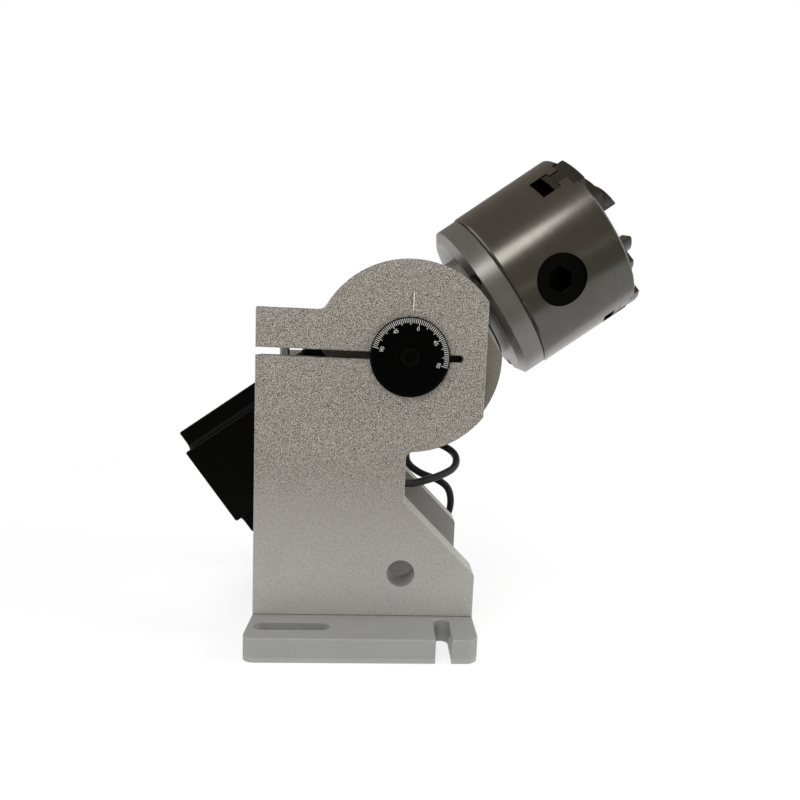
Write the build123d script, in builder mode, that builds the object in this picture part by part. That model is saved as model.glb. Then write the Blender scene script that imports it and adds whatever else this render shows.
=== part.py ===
from build123d import *
import os
from collections import namedtuple
from math import cos, pi, radians, sin, sqrt, tan

# A small motor-driven dividing head: two clamped side plates on a slotted base carry a
# tilting housing, with the stepper motor behind and a three-jaw chuck in front.
# Millimetres. +X points at the chuck end, +Y away from the dial, +Z up. The origin is on
# the base's underside, below the tilt axis, half way between the side plates.

# Base and side plates
base_left = -63.0
base_right = 31.5
base_thick = 10.0
base_flange = 23.0
base_corner = 5.0
plate_gap = 70.0
plate_thick = 14.0
plate_left = -63.0
plate_right = 31.5
plate_toe_top = 29.0
plate_slope = 45.0
neck_x = 0.0
tilt_height = 122.0
shoulder_rise = 18.0
round_radius = 40.0
nose_flat_x = 32.0
shoulder_fillet = 4.0
neck_fillet = 3.0
toe_fillet = 3.0
plate_edge_break = 0.4
cross_hole_x = -0.5
cross_hole_z = 29.0
cross_hole_diameter = 12.0
slit_height = 3.2
relief_height = 3.0
relief_end_x = 22.3
index_line_width = 0.6
index_line_depth = 0.3
index_line_low = 18.5
index_line_long = 8.0

# Slots and screws of the base
slot_width = 6.6
long_slot_length = 31.0
long_slot_x = -44.7
long_slot_out = 11.6
open_slot_x = 17.4
open_slot_out = 5.8
foot_screw_x = (-50.0, -20.0, 20.0)
foot_screw_depth = 16.0
clamp_screw_x = -52.2
clamp_screw_length = 30.0

# Tilting housing and its trunnions
tilt_angle = 36.0
housing_radius = 41.0
side_clearance = 0.5
housing_front = 34.5
housing_rear = -30.0
trunnion_diameter = 28.0
trunnion_fit = 0.04
spigot_diameter = 24.0
spigot_depth = 6.0
trunnion_screw_circle = 8.2
dial_diameter = 33.0
dial_thick = 3.2
dial_hub_diameter = 19.4
dial_hub_thick = 2.4
dial_bevel = 1.2
dial_screw_depth = 14.0

# Spindle and its bearings, distances along the spindle from the tilt axis
bearing_bore = 20.0
bearing_outer = 37.0
bearing_width = 9.0
ball_diameter = 5.0
ball_count = 11
front_bearing_at = 21.0
bearing_spacing = 14.0
spindle_shoulder = 12.5
cover_diameter = 51.0
cover_thick = 3.6
cover_bore = 36.0
cover_screw_edge = 3.2
cover_screw_length = 8.0
cover_screw_way = 12.0
trunnion_thread_depth = 8.0
screw_way_out = 4.0
spindle_flange_gap = 0.3
running_gap = 0.08
locknut_diameter = 30.0
locknut_width = 5.0
locknut_slot_wide = 4.0
locknut_slot_deep = 1.8
tail_diameter = 12.0
tail_length = 7.1
hub_diameter = 25.0
hub_length = 6.5
tongue_width = 5.0
tongue_height = 1.8

# Chuck
back_plate_start = 41.0
back_plate_end = 53.5
back_plate_diameter = 79.0
back_plate_chamfer_long = 2.6
back_plate_chamfer_deep = 4.0
flange_screw_circle = 13.2
chuck_screw_circle = 35.4
chuck_face = 103.5
chuck_diameter = 80.0
chuck_bore = 16.0
chuck_wall = 7.0
chuck_turn = 103.5
chuck_groove = 0.8
slot_past_bore = 4.0
pinion_at = 73.1
pinion_diameter = 22.8
pinion_end = 38.5
pinion_journal_start = 31.4
pinion_gear_start = 24.4
pinion_gear_end = 28.2
pinion_key = 9.8
pinion_key_depth = 9.0
pinion_teeth = 9
pinion_tooth = 1.3
scroll_teeth = 36
scroll_tooth = 1.5
tooth_depth = 1.5
scroll_start = 81.8
scroll_thick = 4.6
scroll_outer = 31.1
sleeve_radius = 20.0
hub_radius = 13.0
ridge_height = 3.0
ridge_width = 2.4
spiral_pitch = 6.0
spiral_start = 14.4
spiral_turns = 2.5
cavity_front = 89.8

# Jaws
pocket_width = 12.4
pocket_start = 86.6
rail_start = 95.7
rail_gap = 7.2
rail_end = 100.3
head_slot = 18.0
slide_gap = 0.2
jaw_foot_start = 92.7
jaw_tooth_wide = 6.0
jaw_tip_radius = 10.6
jaw_tip_flat = 1.5
jaw_outer = 39.6
jaw_first_step = 2.4
jaw_second_step = 8.8
jaw_third_step = 14.3
jaw_second_out = 26.8
jaw_third_out = 18.0

# Stepper motor
motor_square = 56.4
motor_notch = 9.2
motor_corner = 3.0
motor_notch_round = 4.0
motor_notch_edge = 1.0
motor_flange = 8.0
motor_cap_front = 16.0
motor_length = 76.0
motor_cap_rear = 13.0
motor_register = 38.1
register_depth = 1.6
motor_hole_pitch = 47.14
motor_shaft_diameter = 8.0
motor_shaft_out = 15.0
stator_bore = 38.6
air_gap = 0.3
motor_bearing_outer = 22.0
motor_bearing_width = 7.0
motor_ball = 3.6
case_screw_pitch = 32.6

# Motor lead: a limp round cable, from the motor to a coil that lies behind the base
lead_diameter = 4.2
lead_length = 1500.0
grommet_at = -42.0
grommet_y = 12.0
grommet_length = 12.0
grommet_diameter = 7.0
coil_x = -32.0
coil_y = 108.0
coil_turn_diameter = 48.0
coil_layers = 3
tail_run = 16.0
plug_diameter = 13.0
plug_length = 30.0

# Screws: shank radius, head radius, head height and key size
Screw = namedtuple("Screw", "shank head tall key")
m3 = Screw(1.5, 2.75, 3.0, 2.5)
m4 = Screw(2.0, 3.5, 4.0, 3.0)
m5 = Screw(2.5, 4.25, 5.0, 4.0)
m6 = Screw(3.0, 5.0, 6.0, 5.0)
screw_gap = 0.05
counterbore_gap = 0.4

# Directions: along the spindle, up across it, and towards the dial side
along = Vector(cos(radians(tilt_angle)), 0, sin(radians(tilt_angle)))
upward = Vector(-sin(radians(tilt_angle)), 0, cos(radians(tilt_angle)))
nearward = Vector(0, -1, 0)
tilt_center = Vector(0, 0, tilt_height)
spindle_axis = Axis(tilt_center, along)
section = Plane(tilt_center, x_dir=along, z_dir=nearward)

os.makedirs("parts", exist_ok=True)


def across(distance, turn=0.0):
    """Plane square to the spindle, its x turned from upward towards the dial side."""
    radial = upward * cos(radians(turn)) + nearward * sin(radians(turn))
    return Plane(tilt_center + along * distance, x_dir=radial, z_dir=along)


def outward(turn, distance):
    """Plane facing out from the spindle axis at this turn and distance along it."""
    radial = upward * cos(radians(turn)) + nearward * sin(radians(turn))
    return Plane(tilt_center + along * distance, x_dir=along, z_dir=radial)


def turned(points, mode=Mode.ADD):
    """Solid of revolution about the spindle from (distance along, radius) points."""
    with BuildSketch(section) as flat:
        with BuildLine():
            Polyline(*points, close=True)
        make_face()
    revolve(flat.sketch, axis=spindle_axis, mode=mode)


def ring(start, end, inner, outer, mode=Mode.ADD):
    """Plain ring about the spindle, or a disc where the inner radius is zero."""
    with BuildSketch(across(start)) as flat:
        Circle(outer)
        if inner:
            Circle(inner, mode=Mode.SUBTRACT)
    extrude(flat.sketch, amount=end - start, mode=mode)


def screws(plane, places, size, length, head=True):
    """Socket screws whose heads rise from the plane and whose shanks go below it."""
    with BuildSketch(plane) as flat:
        with Locations(*places):
            Circle(size.shank)
    extrude(flat.sketch, amount=-length)
    if head:
        with BuildSketch(plane) as flat:
            with Locations(*places):
                Circle(size.head)
        extrude(flat.sketch, amount=size.tall)
        with BuildSketch(plane.offset(size.tall)) as flat:
            with Locations(*places):
                RegularPolygon(size.key / sqrt(3), 6)
        extrude(flat.sketch, amount=-size.tall * 0.5, mode=Mode.SUBTRACT)


def screw_holes(plane, places, size, length, sink=0.0):
    """Holes for such screws, with a counterbore that goes sink above the plane."""
    with BuildSketch(plane) as flat:
        with Locations(*places):
            Circle(size.shank + screw_gap)
    extrude(flat.sketch, amount=-length - screw_gap, mode=Mode.SUBTRACT)
    if sink:
        with BuildSketch(plane) as flat:
            with Locations(*places):
                Circle(size.head + counterbore_gap)
        extrude(flat.sketch, amount=sink, mode=Mode.SUBTRACT)


def keep(builder, name):
    """Label a finished piece and write it."""
    builder.part.label = name
    export_step(builder.part, f"parts/{name}.step")


# Base plate
plate_out = plate_gap / 2 + plate_thick
base_half = plate_out + base_flange
plate_mid = plate_gap / 2 + plate_thick / 2
foot_places = [(x, side * plate_mid) for side in (-1, 1) for x in foot_screw_x]
foot_seat = Plane((0, 0, m6.tall + counterbore_gap), x_dir=(1, 0, 0), z_dir=(0, 0, -1))

with BuildPart() as base_plate:
    with BuildSketch():
        with Locations(((base_left + base_right) / 2, 0)):
            RectangleRounded(base_right - base_left, 2 * base_half, base_corner)
        for side in (-1, 1):
            with Locations((long_slot_x, side * (plate_out + long_slot_out))):
                SlotOverall(long_slot_length, slot_width, mode=Mode.SUBTRACT)
            slot_run = base_half - plate_out - open_slot_out
            with Locations((open_slot_x, side * (plate_out + open_slot_out))):
                Circle(slot_width / 2, mode=Mode.SUBTRACT)
            with Locations((open_slot_x, side * (base_half - slot_run / 2))):
                Rectangle(slot_width, slot_run, mode=Mode.SUBTRACT)
    extrude(amount=base_thick)
    chamfer(base_plate.faces().sort_by(Axis.Z)[-1].outer_wire().edges(), plate_edge_break)
    screw_holes(foot_seat, [(x, -y) for x, y in foot_places], m6, foot_screw_depth,
                sink=m6.tall + 1)
keep(base_plate, "base_plate")

with BuildPart() as side_plate_screws:
    screws(foot_seat, [(x, -y) for x, y in foot_places], m6, foot_screw_depth)
keep(side_plate_screws, "side_plate_screws")


# Side plates, alike but for the index line
shoulder_z = tilt_height + shoulder_rise
shoulder_x = -sqrt(round_radius**2 - shoulder_rise**2)
nose_half = sqrt(round_radius**2 - nose_flat_x**2)
neck_top = tilt_height - sqrt(round_radius**2 - neck_x**2)
slope_top = plate_toe_top + (plate_right - neck_x) * tan(radians(plate_slope))
clamp_seat = shoulder_z - m4.tall - counterbore_gap
bore_radius = trunnion_diameter / 2 + trunnion_fit


def side_plate(outer_face):
    """One side plate, grown from its outer face towards the middle of the head."""
    with BuildSketch(outer_face) as profile:
        with BuildLine():
            Polyline((neck_x, neck_top), (neck_x, slope_top), (plate_right, plate_toe_top),
                     (plate_right, base_thick), (plate_left, base_thick),
                     (plate_left, shoulder_z), (shoulder_x, shoulder_z))
            ThreePointArc((shoulder_x, shoulder_z), (0, tilt_height + round_radius),
                          (nose_flat_x, tilt_height + nose_half))
            Line((nose_flat_x, tilt_height + nose_half), (nose_flat_x, tilt_height - nose_half))
            RadiusArc((nose_flat_x, tilt_height - nose_half), (neck_x, neck_top), round_radius)
        make_face()

        def corner(x, z):
            return profile.vertices().sort_by_distance((x, z, 0))[0]

        fillet(corner(shoulder_x, shoulder_z), shoulder_fillet)
        fillet(corner(neck_x, neck_top), neck_fillet)
        fillet(corner(neck_x, slope_top), neck_fillet)
        fillet(corner(plate_right, plate_toe_top), toe_fillet)
        fillet(corner(plate_left, shoulder_z), plate_edge_break * 2)
        with Locations((cross_hole_x, cross_hole_z)):
            Circle(cross_hole_diameter / 2, mode=Mode.SUBTRACT)
        with Locations((0, tilt_height)):
            Circle(bore_radius, mode=Mode.SUBTRACT)
        with Locations((plate_left / 2, tilt_height)):
            Rectangle(-plate_left, slit_height, mode=Mode.SUBTRACT)
        with Locations((relief_end_x / 2 - relief_height / 4, tilt_height)):
            Rectangle(relief_end_x - relief_height / 2, relief_height, mode=Mode.SUBTRACT)
        with Locations((relief_end_x - relief_height / 2, tilt_height)):
            Circle(relief_height / 2, mode=Mode.SUBTRACT)
    extrude(profile.sketch, amount=-plate_thick)


def clamp_plane(side):
    """Seat of the clamp screw's head, in the middle of that plate's shoulder."""
    return Plane((clamp_screw_x, side * plate_mid, clamp_seat))


with BuildPart() as near_side_plate:
    side_plate(Plane.XZ.offset(plate_out))
    chamfer(near_side_plate.faces().sort_by(Axis.Y)[0].outer_wire().edges(), plate_edge_break)
    screw_holes(clamp_plane(-1), [(0, 0)], m4, clamp_screw_length, sink=m4.tall + 1)
    screw_holes(foot_seat, [(x, -y) for x, y in foot_places if y < 0], m6, foot_screw_depth)
    with BuildSketch(Plane.XZ.offset(plate_out)):
        with Locations((0, tilt_height + index_line_low + index_line_long / 2)):
            Rectangle(index_line_width, index_line_long)
    extrude(amount=-index_line_depth, mode=Mode.SUBTRACT)
keep(near_side_plate, "near_side_plate")

with BuildPart() as far_side_plate:
    side_plate(Plane.XZ.offset(-plate_gap / 2))
    chamfer(far_side_plate.faces().sort_by(Axis.Y)[-1].outer_wire().edges(), plate_edge_break)
    screw_holes(clamp_plane(1), [(0, 0)], m4, clamp_screw_length, sink=m4.tall + 1)
    screw_holes(foot_seat, [(x, -y) for x, y in foot_places if y > 0], m6, foot_screw_depth)
keep(far_side_plate, "far_side_plate")

with BuildPart() as near_clamp_screw:
    screws(clamp_plane(-1), [(0, 0)], m4, clamp_screw_length)
keep(near_clamp_screw, "near_clamp_screw")

with BuildPart() as far_clamp_screw:
    screws(clamp_plane(1), [(0, 0)], m4, clamp_screw_length)
keep(far_clamp_screw, "far_clamp_screw")


# Tilting housing: a round block between the plates, bored along the spindle
housing_half = plate_gap / 2 - side_clearance
bearing_radius = bearing_outer / 2
front_bearing_end = front_bearing_at + bearing_width
rear_bearing_at = front_bearing_at - bearing_spacing - bearing_width
shoulder_radius = bearing_radius - 2
cover_screw_circle = cover_diameter / 2 - cover_screw_edge
cover_screw_places = [(cover_screw_circle * cos(radians(a)), cover_screw_circle * sin(radians(a)))
                      for a in (45, 135, 225, 315)]
motor_hole_half = motor_hole_pitch / 2
motor_screw_places = [(x * motor_hole_half, y * motor_hole_half) for x in (-1, 1) for y in (-1, 1)]
motor_screw_depth = motor_flange + 10
trunnion_screw_places = [(trunnion_screw_circle * cos(radians(a)),
                          trunnion_screw_circle * sin(radians(a))) for a in (90, 210, 330)]
trunnion_out = plate_out - 0.3
trunnion_screw_seat = trunnion_out - m4.tall - 0.3
trunnion_screw_length = trunnion_screw_seat - housing_half + spigot_depth + trunnion_thread_depth


def side_view(side, distance):
    """Plane facing out of that side of the head, centred on the tilt axis."""
    return Plane((0, side * distance, tilt_height), x_dir=(1, 0, 0), z_dir=(0, side, 0))


with BuildPart() as head_housing:
    with BuildSketch(side_view(-1, housing_half)):
        Circle(housing_radius)
    extrude(amount=-2 * housing_half)
    split(bisect_by=across(housing_front), keep=Keep.BOTTOM)
    split(bisect_by=across(housing_rear), keep=Keep.TOP)
    ring(rear_bearing_at - running_gap, housing_front, 0, bearing_radius + screw_gap,
         mode=Mode.SUBTRACT)
    ring(housing_rear, rear_bearing_at, 0, shoulder_radius, mode=Mode.SUBTRACT)
    ring(housing_rear, housing_rear + register_depth + 0.4, 0, motor_register / 2 + screw_gap,
         mode=Mode.SUBTRACT)
    screw_holes(across(housing_front), cover_screw_places, m3, cover_screw_length)
    screw_holes(Plane(across(housing_rear).origin, x_dir=upward, z_dir=-along),
                motor_screw_places, m5, motor_screw_depth - motor_flange)
    for side in (-1, 1):
        with BuildSketch(side_view(side, housing_half)):
            Circle(spigot_diameter / 2 + screw_gap)
        extrude(amount=-spigot_depth, mode=Mode.SUBTRACT)
        screw_holes(side_view(side, housing_half - spigot_depth), trunnion_screw_places, m4,
                    trunnion_thread_depth)
        screw_holes(side_view(side, housing_half - spigot_depth), [(0, 0)], m5,
                    dial_screw_depth - spigot_depth)
keep(head_housing, "head_housing")


def trunnion(side):
    """Trunnion on one side: a journal in the plate and a spigot in the housing."""
    with BuildSketch(side_view(side, housing_half - spigot_depth)) as flat:
        Circle(spigot_diameter / 2)
    extrude(flat.sketch, amount=spigot_depth)
    with BuildSketch(side_view(side, housing_half)) as flat:
        Circle(trunnion_diameter / 2)
    extrude(flat.sketch, amount=trunnion_out - housing_half)
    screw_holes(side_view(side, trunnion_screw_seat), trunnion_screw_places, m4,
                trunnion_screw_length, sink=m4.tall + 1)
    screw_holes(side_view(side, trunnion_out), [(0, 0)], m5, trunnion_out)


with BuildPart() as near_trunnion:
    trunnion(-1)
keep(near_trunnion, "near_trunnion")

with BuildPart() as far_trunnion:
    trunnion(1)
keep(far_trunnion, "far_trunnion")

with BuildPart() as trunnion_screws:
    for side in (-1, 1):
        screws(side_view(side, trunnion_screw_seat), trunnion_screw_places, m4,
               trunnion_screw_length)
keep(trunnion_screws, "trunnion_screws")

# Dial on the near side and a plain cap on the far side, each held by one screw
disc_foot = plate_out + 0.25
dial_top = disc_foot + dial_thick
dial_screw_seat = dial_top + dial_hub_thick - m5.tall - 0.4


def side_disc(side, hub_thick):
    """Round bevelled disc over the trunnion, with a raised hub and a foot ring below."""
    with BuildSketch(side_view(side, disc_foot)) as flat:
        Circle(dial_diameter / 2)
    extrude(flat.sketch, amount=dial_thick)
    rim = faces().sort_by(Axis((0, 0, 0), (0, side, 0)))[-1].edges()
    chamfer(rim, dial_bevel)
    with BuildSketch(side_view(side, dial_top)) as flat:
        Circle(dial_hub_diameter / 2)
    extrude(flat.sketch, amount=hub_thick)
    with BuildSketch(side_view(side, trunnion_out + 0.02)) as flat:
        Circle(trunnion_diameter / 2 - 0.5)
    extrude(flat.sketch, amount=disc_foot - trunnion_out)
    screw_holes(side_view(side, dial_screw_seat), [(0, 0)], m5, dial_screw_seat,
                sink=m5.tall + screw_way_out)


with BuildPart() as angle_dial:
    side_disc(-1, dial_hub_thick)
keep(angle_dial, "angle_dial")

with BuildPart() as dial_screw:
    screws(side_view(-1, dial_screw_seat), [(0, 0)], m5,
           dial_screw_seat - housing_half + dial_screw_depth)
keep(dial_screw, "dial_screw")

with BuildPart() as far_cap:
    side_disc(1, dial_hub_thick)
keep(far_cap, "far_cap")

with BuildPart() as far_cap_screw:
    screws(side_view(1, dial_screw_seat), [(0, 0)], m5,
           dial_screw_seat - housing_half + dial_screw_depth)
keep(far_cap_screw, "far_cap_screw")


# Spindle bearings: two deep-groove ball bearings with spacers between their rings
bearing_mid = (bearing_bore + bearing_outer) / 4


def bearing_ring(start, width, low, high, mid, ball):
    """One ring of a ball bearing, grooved for its balls."""
    with BuildSketch(section) as flat:
        with Locations((start + width / 2, (low + high) / 2)):
            Rectangle(width, high - low)
        with Locations((start + width / 2, mid)):
            Circle(ball / 2 + 0.05, mode=Mode.SUBTRACT)
    revolve(flat.sketch, axis=spindle_axis)


def balls(middle, mid, ball, count):
    """Ring of balls."""
    for i in range(count):
        spot = across(middle, 360 * i / count).from_local_coords((mid, 0, 0))
        with Locations(spot):
            Sphere(ball / 2)


for name, start in (("rear", rear_bearing_at), ("front", front_bearing_at)):
    with BuildPart() as outer_ring:
        bearing_ring(start, bearing_width, bearing_mid + ball_diameter * 0.3, bearing_radius,
                     bearing_mid, ball_diameter)
    keep(outer_ring, f"{name}_bearing_outer_ring")
    with BuildPart() as inner_ring:
        bearing_ring(start, bearing_width, bearing_bore / 2, bearing_mid - ball_diameter * 0.3,
                     bearing_mid, ball_diameter)
    keep(inner_ring, f"{name}_bearing_inner_ring")
    with BuildPart() as bearing_balls:
        balls(start + bearing_width / 2, bearing_mid, ball_diameter, ball_count)
    keep(bearing_balls, f"{name}_bearing_balls")

with BuildPart() as outer_spacer:
    ring(rear_bearing_at + bearing_width, front_bearing_at, bearing_radius - 2.5, bearing_radius)
keep(outer_spacer, "outer_spacer")

with BuildPart() as inner_spacer:
    ring(rear_bearing_at + bearing_width, front_bearing_at, bearing_bore / 2,
         bearing_bore / 2 + 2.5)
keep(inner_spacer, "inner_spacer")

# Front cover that holds the bearings in
cover_end = housing_front + cover_thick
cover_seat = cover_end - m3.tall - 0.1
with BuildPart() as front_cover:
    turned([(front_bearing_end, bearing_radius - 2.5), (front_bearing_end, bearing_radius),
            (housing_front, bearing_radius), (housing_front, cover_diameter / 2),
            (cover_end - 0.5, cover_diameter / 2), (cover_end, cover_diameter / 2 - 0.5),
            (cover_end, cover_bore / 2), (housing_front - 1, cover_bore / 2),
            (housing_front - 1, bearing_radius - 2.5)])
    screw_holes(across(cover_seat), cover_screw_places, m3, cover_screw_way, sink=m3.tall + 1)
keep(front_cover, "front_cover")

with BuildPart() as cover_screws:
    screws(across(cover_seat), cover_screw_places, m3, cover_screw_length)
keep(cover_screws, "cover_screws")


# Spindle: journal, shoulder, flange that the back plate bolts to, and a tail
flange_start = cover_end + spindle_flange_gap
flange_inner = cover_bore / 2 - running_gap
thread_start = rear_bearing_at - locknut_width
tail_end = thread_start - tail_length
register_radius = 11.0
register_long = 5.0
flange_screw_places = [(flange_screw_circle * cos(radians(a)), flange_screw_circle * sin(radians(a)))
                       for a in (45, 135, 225, 315)]
flange_screw_seat = back_plate_end - m4.tall - 0.4
flange_screw_length = flange_screw_seat - front_bearing_end - 3

with BuildPart() as spindle:
    turned([(tail_end, 0), (tail_end, tail_diameter / 2), (thread_start, tail_diameter / 2),
            (thread_start, bearing_bore / 2), (front_bearing_end, bearing_bore / 2),
            (front_bearing_end, spindle_shoulder), (housing_front - 0.6, spindle_shoulder),
            (housing_front - 0.6, flange_inner), (flange_start, flange_inner),
            (flange_start, cover_diameter / 2), (back_plate_start, cover_diameter / 2),
            (back_plate_start, register_radius), (back_plate_start + register_long, register_radius),
            (back_plate_start + register_long, 0)])
    screw_holes(across(flange_screw_seat), flange_screw_places, m4, flange_screw_length)
keep(spindle, "spindle")

with BuildPart() as locknut:
    ring(thread_start, rear_bearing_at, bearing_bore / 2, locknut_diameter / 2)
    for turn in (0, 90, 180, 270):
        slot_foot = locknut_diameter / 2 - locknut_slot_deep
        with BuildSketch(outward(turn, rear_bearing_at - locknut_width / 2).offset(slot_foot)):
            Rectangle(locknut_width, locknut_slot_wide)
        extrude(amount=2 * locknut_slot_deep, mode=Mode.SUBTRACT)
keep(locknut, "locknut")

# Cross-tongue coupling between the spindle's tail and the motor's shaft
shaft_end = housing_rear + motor_shaft_out
hub_gap = 0.6
spindle_hub_start = thread_start - hub_gap - hub_length
disc_start = spindle_hub_start - tongue_height - 2.6
motor_hub_start = disc_start - tongue_height - hub_length + 0.1


def tongue(distance, turn, height):
    """Tongue across a coupling hub, clipped to the hub's radius."""
    with BuildSketch(across(distance, turn)) as flat:
        Rectangle(hub_diameter, tongue_width)
        Circle(hub_diameter / 2, mode=Mode.INTERSECT)
    extrude(flat.sketch, amount=height)


with BuildPart() as spindle_hub:
    tongue(spindle_hub_start - tongue_height, 0, tongue_height)
    ring(spindle_hub_start, spindle_hub_start + hub_length, 0, hub_diameter / 2)
    ring(spindle_hub_start - tongue_height, spindle_hub_start + hub_length, 0,
         tail_diameter / 2 + 0.02, mode=Mode.SUBTRACT)
    screw_holes(outward(90, spindle_hub_start + hub_length / 2).offset(hub_diameter / 2),
                [(0, 0)], m3, hub_diameter / 2)
keep(spindle_hub, "spindle_hub")

with BuildPart() as coupling_disc:
    ring(disc_start, spindle_hub_start - 0.1, 6.5, hub_diameter / 2)
    for turn, start in ((0, spindle_hub_start - tongue_height - 0.1), (90, disc_start)):
        with BuildSketch(across(start, turn)):
            Rectangle(hub_diameter + 1, tongue_width + 0.1)
        extrude(amount=tongue_height if turn else tongue_height + 0.1, mode=Mode.SUBTRACT)
keep(coupling_disc, "coupling_disc")

with BuildPart() as motor_hub:
    ring(motor_hub_start, motor_hub_start + hub_length, 0, hub_diameter / 2)
    tongue(motor_hub_start + hub_length, 90, tongue_height)
    ring(motor_hub_start, motor_hub_start + hub_length + tongue_height, 0,
         motor_shaft_diameter / 2 + 0.02, mode=Mode.SUBTRACT)
    screw_holes(outward(90, motor_hub_start + hub_length / 2).offset(hub_diameter / 2),
                [(0, 0)], m3, hub_diameter / 2)
keep(motor_hub, "motor_hub")

with BuildPart() as hub_grub_screws:
    for start, inner in ((spindle_hub_start, tail_diameter / 2), (motor_hub_start,
                                                                  motor_shaft_diameter / 2)):
        depth = hub_diameter / 2 - inner - 0.1
        screws(outward(90, start + hub_length / 2).offset(hub_diameter / 2 - 0.1), [(0, 0)], m3,
               depth - 0.1, head=False)
keep(hub_grub_screws, "hub_grub_screws")


# Stepper motor: end caps, notched stator stack, rotor on its shaft and two bearings
motor_rear = housing_rear - motor_length
front_cap_end = housing_rear - motor_cap_front
rear_cap_start = motor_rear + motor_cap_rear
motor_bearing_starts = (motor_rear + 3, front_cap_end + 2.5)
motor_bearing_mid = (motor_shaft_diameter + motor_bearing_outer) / 4
case_half = case_screw_pitch / 2
case_places = [(x * case_half, y * case_half) for x in (-1, 1) for y in (-1, 1)]
grommet_plane = outward(180, grommet_at)
grommet_face = motor_square / 2


def motor_section(distance, length, notched=True):
    """Length of the motor's square section, with its notched corners."""
    with BuildSketch(across(distance)) as outline:
        Rectangle(motor_square, motor_square)
        if notched:
            with GridLocations(motor_square - motor_notch, motor_square - motor_notch, 2, 2):
                Rectangle(motor_notch, motor_notch, mode=Mode.SUBTRACT)
            rim = motor_square / 2 - motor_notch / 2
            fillet([v for v in outline.vertices() if max(abs(v.X), abs(v.Y)) < rim], motor_notch_round)
            fillet([v for v in outline.vertices() if max(abs(v.X), abs(v.Y)) > rim + motor_notch / 4],
                   motor_notch_edge)
        else:
            fillet(outline.vertices(), motor_corner)
    extrude(outline.sketch, amount=length)


with BuildPart() as motor_front_cap:
    motor_section(front_cap_end, motor_cap_front - motor_flange)
    motor_section(housing_rear - motor_flange, motor_flange, notched=False)
    ring(housing_rear, housing_rear + register_depth, 0, motor_register / 2)
    ring(front_cap_end, motor_bearing_starts[1] + motor_bearing_width, 0, motor_bearing_outer / 2,
         mode=Mode.SUBTRACT)
    ring(front_cap_end, housing_rear + register_depth, 0, motor_shaft_diameter / 2 + 1.5,
         mode=Mode.SUBTRACT)
    screw_holes(Plane(across(housing_rear - motor_flange).origin, x_dir=upward, z_dir=-along),
                motor_screw_places, m5, motor_flange)
    screw_holes(across(front_cap_end), case_places, m3, -9)
    with BuildSketch(grommet_plane.offset(grommet_face)):
        with Locations((0, -grommet_y)):
            Circle(grommet_diameter / 2 - 1)
    extrude(amount=-3, mode=Mode.SUBTRACT)
keep(motor_front_cap, "motor_front_cap")

with BuildPart() as motor_stator:
    motor_section(rear_cap_start, front_cap_end - rear_cap_start)
    ring(rear_cap_start, front_cap_end, 0, stator_bore / 2, mode=Mode.SUBTRACT)
    screw_holes(across(front_cap_end), case_places, m3, front_cap_end - rear_cap_start)
keep(motor_stator, "motor_stator")

case_seat = motor_rear + m3.tall + 0.4
with BuildPart() as motor_rear_cap:
    motor_section(motor_rear, motor_cap_rear)
    ring(motor_bearing_starts[0], rear_cap_start, 0, motor_bearing_outer / 2, mode=Mode.SUBTRACT)
    screw_holes(Plane(across(case_seat).origin, x_dir=upward, z_dir=-along), case_places, m3,
                motor_cap_rear, sink=m3.tall + 1)
    chamfer(motor_rear_cap.faces().sort_by(spindle_axis)[0].outer_wire().edges(), plate_edge_break)
keep(motor_rear_cap, "motor_rear_cap")

with BuildPart() as motor_case_screws:
    screws(Plane(across(case_seat).origin, x_dir=upward, z_dir=-along), case_places, m3,
           front_cap_end - case_seat + 8)
keep(motor_case_screws, "motor_case_screws")

with BuildPart() as motor_mount_screws:
    screws(Plane(across(housing_rear - motor_flange).origin, x_dir=upward, z_dir=-along),
           motor_screw_places, m5, motor_screw_depth)
keep(motor_mount_screws, "motor_mount_screws")

with BuildPart() as motor_bearing_outer_rings:
    for start in motor_bearing_starts:
        bearing_ring(start, motor_bearing_width, motor_bearing_mid + motor_ball * 0.3,
                     motor_bearing_outer / 2, motor_bearing_mid, motor_ball)
keep(motor_bearing_outer_rings, "motor_bearing_outer_rings")

with BuildPart() as motor_bearing_inner_rings:
    for start in motor_bearing_starts:
        bearing_ring(start, motor_bearing_width, motor_shaft_diameter / 2,
                     motor_bearing_mid - motor_ball * 0.3, motor_bearing_mid, motor_ball)
keep(motor_bearing_inner_rings, "motor_bearing_inner_rings")

with BuildPart() as motor_bearing_balls:
    for start in motor_bearing_starts:
        balls(start + motor_bearing_width / 2, motor_bearing_mid, motor_ball, 7)
keep(motor_bearing_balls, "motor_bearing_balls")

rotor_radius = stator_bore / 2 - air_gap
rotor_start = rear_cap_start + 6
rotor_end = front_cap_end - 4
with BuildPart() as motor_rotor:
    ring(rotor_start, rotor_end, motor_shaft_diameter / 2, rotor_radius)
    for turn in range(0, 360, 15):
        with BuildSketch(outward(turn, (rotor_start + rotor_end) / 2).offset(rotor_radius - 0.8)):
            Rectangle(rotor_end - rotor_start + 1, 1.6)
        extrude(amount=2, mode=Mode.SUBTRACT)
keep(motor_rotor, "motor_rotor")

with BuildPart() as motor_shaft:
    ring(motor_bearing_starts[0], shaft_end, 0, motor_shaft_diameter / 2)
keep(motor_shaft, "motor_shaft")

with BuildPart() as lead_grommet:
    with BuildSketch(grommet_plane.offset(grommet_face - 2.9)):
        with Locations((0, -grommet_y)):
            Circle(grommet_diameter / 2 - 1)
    extrude(amount=2.9)
    with BuildSketch(grommet_plane.offset(grommet_face)):
        with Locations((0, -grommet_y)):
            Circle(grommet_diameter / 2)
    extrude(amount=grommet_length, taper=4)
keep(lead_grommet, "lead_grommet")


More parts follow.
